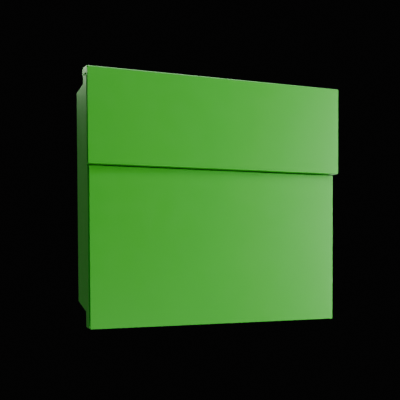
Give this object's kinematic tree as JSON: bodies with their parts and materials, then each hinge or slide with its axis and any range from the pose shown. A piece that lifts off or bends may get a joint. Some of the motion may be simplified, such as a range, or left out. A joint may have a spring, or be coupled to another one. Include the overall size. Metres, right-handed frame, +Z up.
{
  "type": "wall mounted mailbox",
  "caption": "Wall mounted sheet steel mailbox with a lifting slot flap over a mail slot, a fold-down door with a letter tray, and a cam lock.",
  "frame": {"origin": "on the wall face, behind the centre of the front", "axes": "+Z up, front faces -Y, +Y points into the wall, +X to the right seen from the front"},
  "size_m": [0.375, 0.104, 0.3492],
  "materials": {
    "green_powder_coat": "satin powder coat",
    "stainless_steel": "plain drawn pins",
    "zinc_plate": "bright zinc plate",
    "nickel_plate": "nickel plated lock",
    "black_rubber": "moulded rubber",
    "black_nylon": "moulded nylon"
  },
  "bodies": {
    "housing": {"side_panel_left": "green_powder_coat", "side_panel_right": "green_powder_coat", "roof_panel": "green_powder_coat", "floor_panel": "green_powder_coat", "back_panel": "green_powder_coat", "slot_panel": "green_powder_coat", "letter_guide": "green_powder_coat", "frame_stile_left": "green_powder_coat", "frame_stile_right": "green_powder_coat", "side_guard_left": "green_powder_coat", "side_guard_right": "green_powder_coat", "flap_hinge_bracket_left": "green_powder_coat", "flap_hinge_bracket_right": "green_powder_coat", "flap_hinge_pin": "stainless_steel", "bracket_rivet_left": "stainless_steel", "bracket_rivet_right": "stainless_steel", "door_hinge_arm_left": "green_powder_coat", "door_hinge_arm_right": "green_powder_coat", "door_hinge_pin_left": "stainless_steel", "door_hinge_pin_right": "stainless_steel", "door_hinge_spacer_left": "black_nylon", "door_hinge_spacer_right": "black_nylon", "flap_buffer_left": "black_rubber", "flap_buffer_right": "black_rubber", "door_buffer_left": "black_rubber", "door_buffer_right": "black_rubber", "guide_rivet_1": "zinc_plate", "guide_rivet_2": "zinc_plate", "guide_rivet_3": "zinc_plate", "guide_rivet_4": "zinc_plate", "lock_barrel": "nickel_plate", "lock_nut": "zinc_plate"},
    "flap": {"flap": "green_powder_coat"},
    "door": {"door_panel": "green_powder_coat", "door_tray": "green_powder_coat", "door_striker": "zinc_plate", "striker_nut_1": "zinc_plate", "striker_nut_2": "zinc_plate", "tray_nut_1": "zinc_plate", "tray_nut_2": "zinc_plate", "tray_nut_3": "zinc_plate", "tray_nut_4": "zinc_plate"},
    "lock": {"lock_plug": "nickel_plate", "lock_cam": "zinc_plate", "cam_screw": "zinc_plate"}
  },
  "joints": [
    {"name": "flap_hinge", "type": "hinge", "parent": "housing", "child": "flap", "pos_m": [0, -0.0695, 0.1732], "axis": [-1, 0, 0], "range_deg": [0, 80]},
    {"name": "door_hinge", "type": "hinge", "parent": "housing", "child": "door", "pos_m": [0, -0.0885, -0.1688], "axis": [1, 0, 0], "range_deg": [0, 95]},
    {"name": "lock_turn", "type": "hinge", "parent": "housing", "child": "lock", "pos_m": [0, -0.082, 0.068], "axis": [0, 1, 0], "range_deg": [0, 90]}
  ]
}
